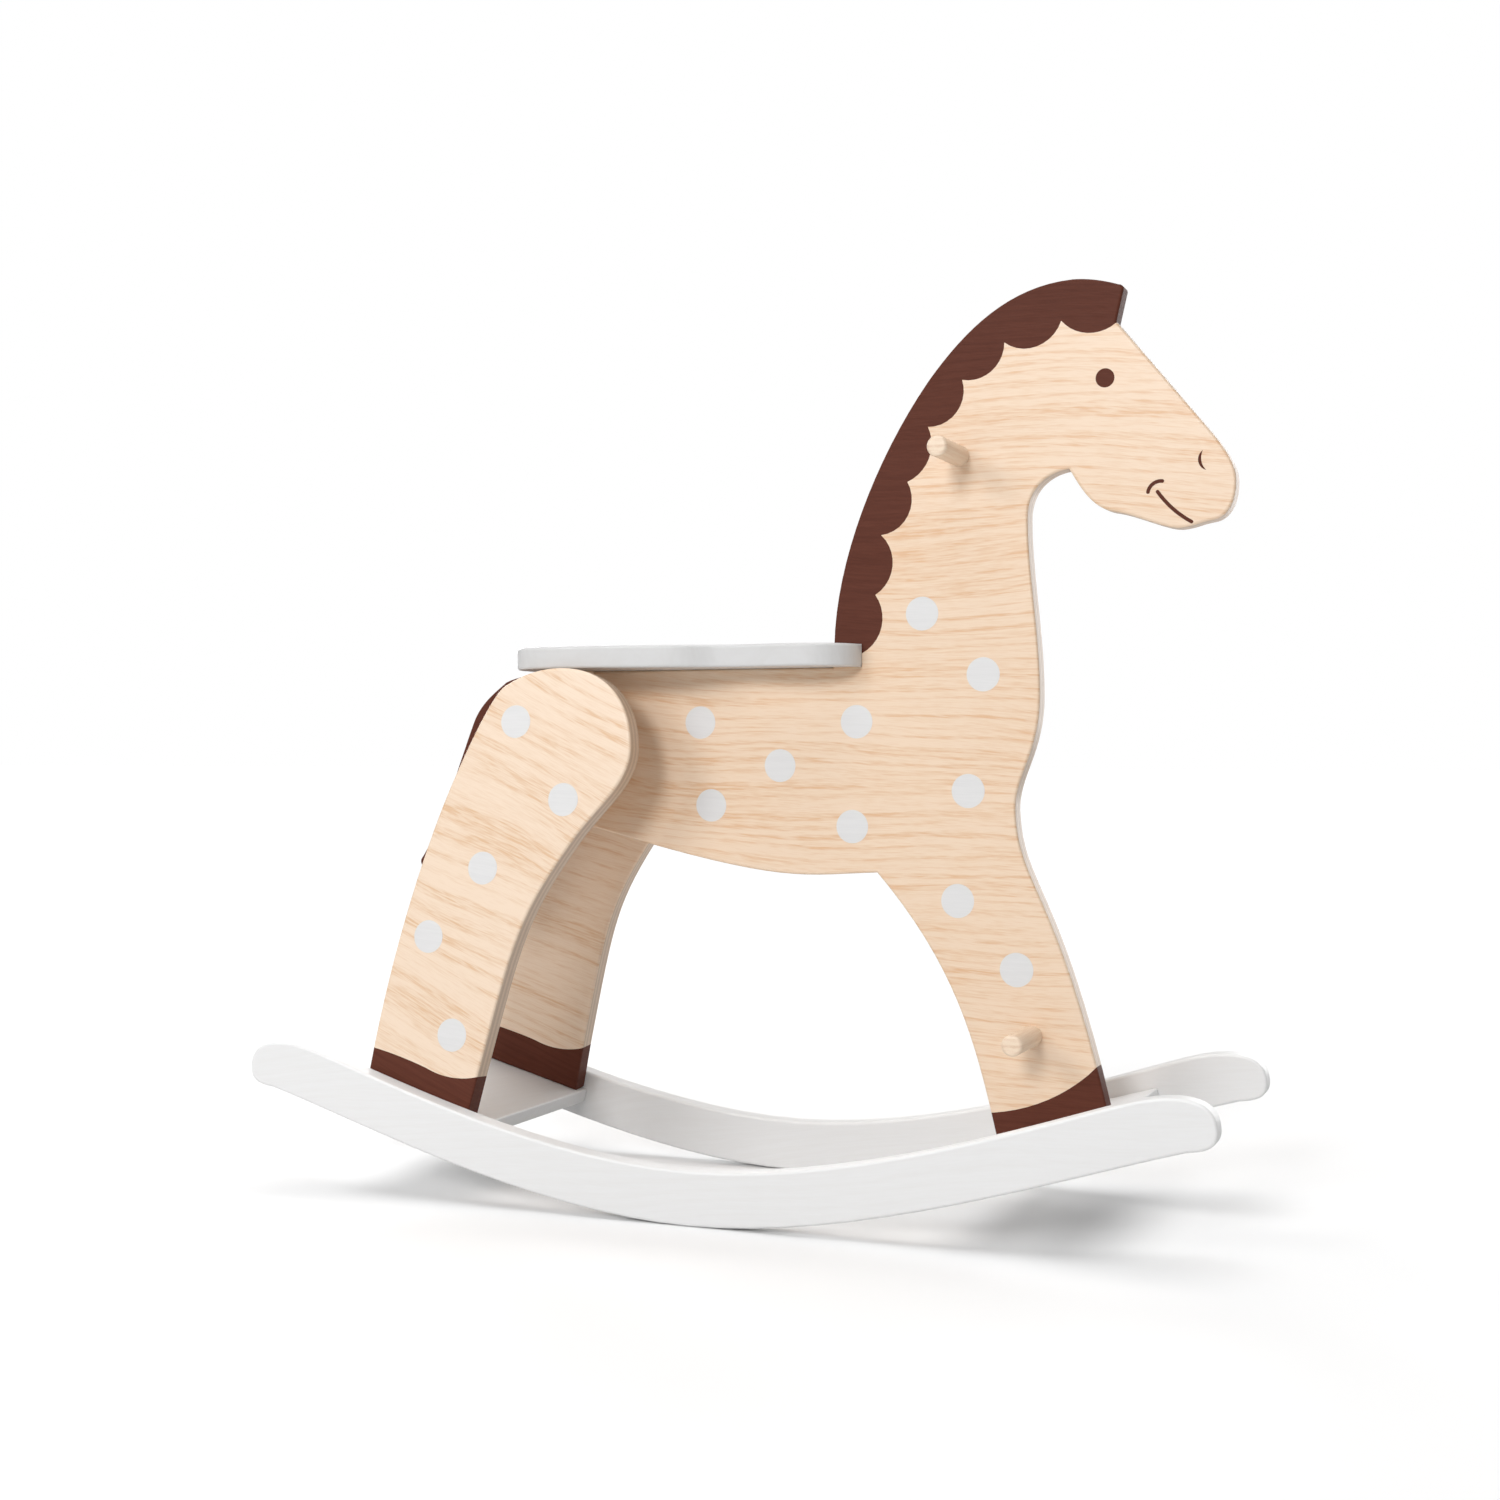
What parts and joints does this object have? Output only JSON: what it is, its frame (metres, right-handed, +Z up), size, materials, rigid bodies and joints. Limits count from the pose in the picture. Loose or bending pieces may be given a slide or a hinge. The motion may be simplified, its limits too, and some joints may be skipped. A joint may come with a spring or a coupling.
{
  "type": "rocking horse",
  "caption": "Plywood rocking horse: shaped centre panel with through bars for hands and feet, leaning rear legs, seat board and two curved rockers on cross boards.",
  "frame": {"origin": "on the floor, under the middle of the rockers and midway between them", "axes": "+X towards the horse's head, +Y to the horse's left, +Z up"},
  "size_m": [0.6602, 0.205, 0.598],
  "materials": {
    "clear_ply": "clear satin lacquer over pale veneer",
    "white_paint": "white satin paint over plywood",
    "brown_paint": "dark brown satin stain that lets the grain show",
    "dot_paint": "off-white satin paint dots",
    "beech": "clear satin lacquer",
    "zinc_steel": "zinc plated"
  },
  "bodies": {
    "root": {"horse_panel": "clear_ply", "rear_leg_right": "clear_ply", "rear_leg_left": "clear_ply", "seat_board": "white_paint", "rocker_right": "white_paint", "rocker_left": "white_paint", "rear_cross_board": "white_paint", "front_cross_board": "white_paint", "handle_bar": "beech", "foot_bar": "beech", "hip_block_right": "beech", "hip_block_left": "beech", "hip_pins_right": "beech", "hip_pins_left": "beech", "hip_screws": "zinc_steel", "seat_pins": "beech", "rear_board_pins": "beech", "front_board_pins": "beech", "rear_foot_screws": "zinc_steel", "front_foot_screws": "zinc_steel"}
  },
  "joints": []
}
